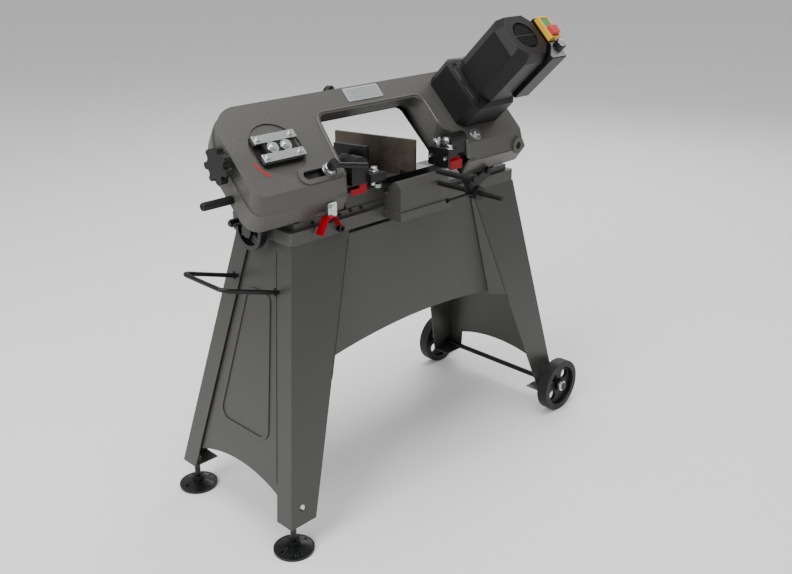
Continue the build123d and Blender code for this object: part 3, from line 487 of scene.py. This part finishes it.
def bent(corners, radius, steps=5):
    """Open line with its inner corners rounded."""
    inner = rounded(corners, radius, steps)[steps + 1:-(steps + 1)]
    return [corners[0]] + inner + [corners[-1]]


def arc(radius, start, end, steps=14, centre=(0, 0)):
    """Points on an arc, angles in degrees."""
    turns = [math.radians(start + (end - start) * k / steps) for k in range(steps + 1)]
    return [(centre[0] + radius * math.cos(t), centre[1] + radius * math.sin(t)) for t in turns]


def add_ring(bm, matrix, outer, inner, low, high):
    """Closed ring between two outlines with the same number of points."""
    loops = []
    for outline, level in ((outer, low), (outer, high), (inner, high), (inner, low)):
        loops.append([bm.verts.new(matrix @ Vector((x, y, level))) for x, y in outline])
    count = len(outer)
    for near, far in zip(loops, loops[1:] + loops[:1]):
        for i in range(count):
            j = (i + 1) % count
            bm.faces.new((near[i], near[j], far[j], far[i]))
    return bm


def bow_details():
    """Lip round the throat, blank plate, arrow, bolts and cover knobs."""
    edge = bent([(-195, 17), (-179, 155), (109, 155), (109, 77), (155, 43), (155, 22)], 20)
    sweep_piece("throat_lip", BOW, [(u, v, 31.6) for u, v in edge], 2.6, "bow_paint", "bow")
    plate = rounded([(-84, 165), (9, 165), (9, 196), (-84, 196)], 3)
    slab("name_plate", BOW, plate, FACE_W - 0.2, FACE_W + 1.4, "plate_silver", "bow", width=0.5)
    field = rounded([(-79, 169), (4, 169), (4, 192), (-79, 192)], 2)
    slab("plate_field", BOW, field, FACE_W + 1.3, FACE_W + 1.7, "zinc", "bow")
    bolt("face_bolt", on_face(189, 36), 13, 7, "zinc", "bow", 14)
    tip = [(IDLER_U + r * math.cos(math.radians(a)), WHEEL_V + r * math.sin(math.radians(a)))
           for r, a in ((67.5, 220), (62.5, 228), (58, 220))]
    middle = (IDLER_U, WHEEL_V)
    shape = arc(65.5, 192, 219, 12, middle) + tip + arc(60.5, 219, 192, 12, middle)
    slab("arrow_mark", BOW, shape, FACE_W - 0.1, FACE_W + 0.5, "red_mark", "bow")
    for k, (u, v) in enumerate((KNOB_UV, (-385, 100), (332, 120))):
        height = -29 if k else -4
        lathe(f"cover_knob_{k}", facing(BOW, (u, v, height), BACK, UP_BOW),
              [(0, 0), (5, 0), (5, 5), (11, 7), (12, 10), (12, 16), (10.5, 18), (0, 18)],
              "black_plastic", "bow")


def cover_tab():
    """Sheet tab behind the spine that the upper cover knob screws onto."""
    outline = rounded([(-82, 200), (-50, 200), (-54, 236), (-78, 236)], 5)
    slab("cover_tab", BOW, outline, -27.5, -26, "black_paint", "bow", width=0.3)
    lathe("cover_stud", on_face(*KNOB_UV, -26), [(0, 0), (4, 0), (4, 22), (0, 22)],
          "black_oxide", "bow", steps=20)


def slide_top():
    """Height of the tension slide's outer face above the bow's plane."""
    inverse = BOW.inverted()
    return max((inverse @ v.co).z for v in frame["nodes"]["idler_slide"].data.vertices)


def tension_details():
    """Bolts with wide washers on the tension slide, and the dark base of its plates."""
    base = rounded([(-350, 66), (-258, 66), (-258, 130), (-350, 130)], 6)
    slab("slide_base", BOW, base, FACE_W - 0.1, FACE_W + 1.0, "black_oxide", "bow", width=0.4)
    top = slide_top()
    for k, u in enumerate((-317, -288)):
        bolt(f"slide_bolt_{k}", on_face(u, TENSION_V, top - 0.2), 12, 6, "zinc", "idler_carriage", 11.5)


def guide_details():
    """Bolts, nuts and washers of both blade guides."""
    lathe("lever_washer", on_face(*LEVER_UV, 34.6), [(0, 0), (13, 0), (13, 2), (0, 2)],
          "zinc", "left_guide")
    lathe("lever_collar", on_face(*LEVER_UV, 37.6),
          [(9.4, 0), (11, 0.4), (10.4, 7), (9.4, 7.4)], "zinc", "lever")
    bolt("left_block_bolt", facing(FLOOR, (-112, -79, 660.8), TOP), 12, 7, "zinc", "left_guide", 9)
    bolt("left_block_nut", facing(FLOOR, (-125, -88, 645.2), BACK), 10, 6, "zinc", "left_guide", 8)
    bolt("right_nut_front", facing(FLOOR, (92, -89, 669.8), TOP), 11, 7, "zinc", "bow", 8)
    bolt("right_nut_rear", facing(FLOOR, (80, -66, 669.8), TOP), 10, 14, "zinc", "bow", 7)
    wing = rounded([(-10, 0), (10, 0), (8, 9), (3, 4), (-3, 4), (-8, 9)], 1.5)
    slab("wing_nut", facing(FLOOR, (80, -64, 684), FRONT, TOP), wing, -1, 3, "zinc", "bow", width=0.4)


def motor_details():
    """Grille, screws, vent slots drawn as painted shade, dial plate and chrome knob top."""
    bm = bmesh.new()
    pitch = 5.4                # between the grille's cells
    turned = Matrix.Rotation(math.pi / 6, 4, "Z")
    for row in range(-7, 8):
        for column in range(-7, 8):
            x = (column + 0.5 * (row % 2)) * pitch
            y = row * pitch * math.sqrt(3) / 2
            if math.hypot(x, y) > 28 or abs(y) < 4:
                continue
            place = BOW @ Matrix.Translation((MOTOR_UV[0] + x, MOTOR_UV[1] + y, 0)) @ turned
            add_ring(bm, place, hexagon(pitch), hexagon(4.0), 234.6, 237.2)
    from_bmesh("grille_mesh", bm, "black_plastic", "bow")
    for k, (u, v) in enumerate(((172, 75), (272, 75), (172, 168), (272, 168))):
        piece = add_socket_head(bmesh.new(), on_face(u, v, 95), 4.5, 4)
        from_bmesh(f"base_screw_{k}", piece, "black_oxide", "bow")
    # Vent slots as thin dark slabs: painted shade standing in for the slots' hollow insides.
    for k, v in enumerate((93, 138)):
        slot_shade = rounded([(-15, -2.2), (15, -2.2), (15, 2.2), (-15, 2.2)], 2)
        slab(f"vent_slot_{k}", facing(BOW, (163, v + 5, 97.4), (-0.34, 0, 0.94), LEFT), slot_shade, -1.5, 0.4,
             "dial_ink", "bow")
    dial = rounded([(266, 58.5), (309.5, 58.5), (309.5, 94.5), (288, 94.5), (288, 87.5), (266, 65.8)], 1.5)
    slab("dial_plate", BOW, dial, BOX_TOP_W - 0.1, BOX_TOP_W + 0.6, "plate_silver", "bow")
    marks = bmesh.new()
    for k in range(11):
        turn = Matrix.Rotation(math.radians(225 - 27 * k), 4, "Z")
        add_prism(marks, BOW @ Matrix.Translation((*DIAL_UV, 0)) @ turn,
                  [(14.2, -0.5), (16.4, -0.5), (16.4, 0.5), (14.2, 0.5)], BOX_TOP_W + 0.4, BOX_TOP_W + 0.9)
    from_bmesh("dial_marks", marks, "dial_ink", "bow")
    lathe("knob_top", on_face(*DIAL_UV, BOX_TOP_W + 17.8), [(0, 0), (9, 0), (8.6, 1.6), (7, 2.2), (0, 2.2)],
          "zinc", "speed")


def bow_clip():
    """Red spring clip under the left box, held by a zinc tab with a screw."""
    line = bent([(-264, 574), (-247, 603), (-229, 604), (-217, 582)], 8)
    inner = [(x, z - 1.6) for x, z in line]
    outline = line + inner[::-1]
    slab("red_clip", facing(FLOOR, (0, -82, 0), FRONT), outline, 0, 20, "red_paint", "bow", width=0.3)
    tab = rounded([(-243, 601), (-222, 601), (-222, 628), (-243, 628)], 4)
    slab("clip_tab", facing(FLOOR, (0, -92.5, 0), FRONT), tab, 0, 1.8, "zinc", "bow", width=0.3)
    bolt("clip_screw", facing(FLOOR, (-236, -94.2, 619), FRONT), 9, 5, "zinc", "bow", 7)


def plane_line(node, normal, z):
    """Left and right ends, in stand millimetres, of a sheet's outer face at height z."""
    inverse = FLOOR.inverted()
    mesh = frame["nodes"][node].data
    across = 0 if normal == FRONT else 1
    found = []
    for edge in mesh.edges:
        a, b = (inverse @ mesh.vertices[i].co for i in edge.vertices)
        if (a.z - z) * (b.z - z) <= 0 and abs(a.z - b.z) > 1e-6:
            found.append(a.lerp(b, (z - a.z) / (b.z - a.z)))
    outer = min(p.dot(Vector(normal)) * -1 for p in found)
    face = [p for p in found if p.dot(Vector(normal)) * -1 < outer + 1.0]
    face.sort(key=lambda p: p[across])
    return face[0], face[-1]


def seam_shade_lines():
    """Dark lines where the legs' flanges lap over the panels: painted shade in the gaps between the parts.
    """
    for k, (leg, side, normal, pick, low) in enumerate((
            ("leg_front_left", "front", FRONT, 1, 300), ("leg_front_right", "front", FRONT, 0, 300),
            ("leg_front_left", "end", LEFT, 1, 130))):
        top = plane_line(leg, normal, 545)[pick]
        foot = plane_line(leg, normal, low)[pick]
        lift = Vector(normal) * 0.1
        sweep_piece(f"seam_{side}_{k}", FLOOR, [top + lift, foot + lift], 0.9, "dial_ink", "stand")


def pressed_rib():
    """Raised trapezoid on the left end panel."""
    low = plane_line("panel_left_end", LEFT, 200)
    high = plane_line("panel_left_end", LEFT, 500)
    origin = (low[0] + low[1]) / 2
    up = ((high[0] + high[1]) / 2 - origin).normalized()
    out = Vector((0, 1, 0)).cross(up)
    if out.x > 0:
        out = -out
    matrix = FLOOR @ basis(origin, out.cross(up) * -1, up, out)
    middle = 128
    rib = rounded([(-78, -12), (78, -12), (34, 268), (-34, 268)], 22, 6)
    core = [(x * 0.92, middle + (y - middle) * 0.96) for x, y in rib]
    bm = add_ring(bmesh.new(), matrix, rib, core, -0.5, 2.4)
    bmesh.ops.recalc_face_normals(bm, faces=bm.faces)
    bevelled(bm, 1.1 * MM, 3)
    from_bmesh("pressed_rib", bm, "stand_paint", "stand")


def leg_returns():
    """Folded returns that close the space between each leg's flange and its panel."""
    top_z, low_z = 560, 312
    flange_top = (180, 80)
    for name, side_x, foot, drop in (("left", -1, (365, 174), 501), ("right", 1, (348, 169), 514)):
        share = (top_z - low_z) / drop
        x = flange_top[0] + share * (foot[0] - flange_top[0])
        y = flange_top[1] + share * (foot[1] - flange_top[1])
        corners = [(182, 80.5, 556), (x, y - 1, low_z), (x - 24, 90, low_z), (177, 78, 550)]
        for place, side_y in (("front", -1), ("rear", 1)):
            add_return(f"leg_return_{place}_{name}", side_x, side_y, corners)


def add_return(name, side_x, side_y, corners, thick=1.2):
    """One thin four-sided return in its own corner of the stand."""
    bm = bmesh.new()
    rings = []
    for shift in (0, thick):
        rings.append([bm.verts.new(FLOOR @ Vector((side_x * (x + shift), side_y * y, z)))
                      for x, y, z in corners])
    for k in range(4):
        n = (k + 1) % 4
        bm.faces.new((rings[0][k], rings[0][n], rings[1][n], rings[1][k]))
    bm.faces.new(rings[0][::-1])
    bm.faces.new(rings[1])
    from_bmesh(name, bm, "stand_paint", "stand")


def stand_details():
    """Foot nuts, wheel hub caps, handle pins and the lift handle's end ring."""
    for name, y in (("front", -FOOT_Y), ("rear", FOOT_Y)):
        bm = bmesh.new()
        for low in (52, 61):
            place = FLOOR @ Matrix.Translation((FOOT_X, y, 0))
            add_ring(bm, place, hexagon(19), circle(5.2, 6), low, low + 7)
        from_bmesh(f"foot_nuts_{name}", bm, "zinc", f"foot_{name}")
        side = 1 if y > 0 else -1
        lathe(f"hub_cap_{name}", facing(FLOOR, (AXLE_X, side * WHEEL_FACE_Y, AXLE_Z), (0, side, 0)),
              [(0, 0), (13, 0), (12.4, 3.5), (9, 6), (0, 7)], "zinc", f"wheel_{name}")
        lathe(f"handle_pin_{name}", facing(FLOOR, (-347, side * 61, 470), TOP),
              [(0, 0), (2.2, 0), (2.6, 0.5), (2.6, 14.5), (2.2, 15), (0, 15)],
              "black_oxide", "stand", steps=16)
    lathe("lift_handle_end", facing(BOW, (-466, 48, -16.5), LEFT),
          [(3.6, -2), (3.6, 1.2), (6.4, 1.2), (7.2, 0), (7.2, -2)], "black_plastic", "bow", steps=28)


# ------------------------------------------------------------------ studio
# name, place and width in metres, and power in watts
LAMPS = [
    ("key", (-3.4, -0.4, 2.6), 2.0, 105),
    ("top", (-0.3, -0.2, 3.6), 2.4, 85),
    ("rim", (2.6, 1.2, 2.4), 2.0, 40),
]
EYE = Vector((-1297.2, -1289.1, 1103.9))      # camera, from the stand's middle
EYE_DOWN, EYE_TURN, EYE_LENS = 21.84, -45.8, 41.93


def studio():
    """Pale floor, soft lights and the camera."""
    bpy.ops.mesh.primitive_plane_add(size=60, location=(0, 0, -0.0005))
    floor = bpy.context.object
    floor.name = "studio_floor"
    paper = bpy.data.materials.new("studio_paper")
    paper.use_nodes = True
    paper.node_tree.nodes["Principled BSDF"].inputs["Base Color"].default_value = (0.93, 0.93, 0.93, 1)
    paper.node_tree.nodes["Principled BSDF"].inputs["Roughness"].default_value = 0.9
    floor.data.materials.append(paper)
    world = bpy.data.worlds.new("studio_world")
    world.use_nodes = True
    world.node_tree.nodes["Background"].inputs["Color"].default_value = (1, 1, 1, 1)
    world.node_tree.nodes["Background"].inputs["Strength"].default_value = 0.55
    bpy.context.scene.world = world
    target = Vector((0, 0, 0.5))
    for name, place, size, power in LAMPS:
        light = bpy.data.lights.new(name, "AREA")
        light.size = size
        light.energy = power
        lamp = bpy.data.objects.new(name, light)
        lamp.location = place
        lamp.rotation_euler = (target - Vector(place)).to_track_quat("-Z", "Y").to_euler()
        bpy.context.scene.collection.objects.link(lamp)
    camera = bpy.data.cameras.new("camera")
    camera.sensor_width = 36
    camera.lens = EYE_LENS
    camera.clip_end = 100
    eye = bpy.data.objects.new("camera", camera)
    eye.location = FLOOR @ EYE
    eye.rotation_euler = (math.radians(90 - EYE_DOWN), 0, math.radians(EYE_TURN))
    bpy.context.scene.collection.objects.link(eye)
    bpy.context.scene.camera = eye


plain_copies()
castings()
bow_details()
cover_tab()
tension_details()
guide_details()
motor_details()
bow_clip()
seam_shade_lines()
pressed_rib()
leg_returns()
stand_details()
studio()
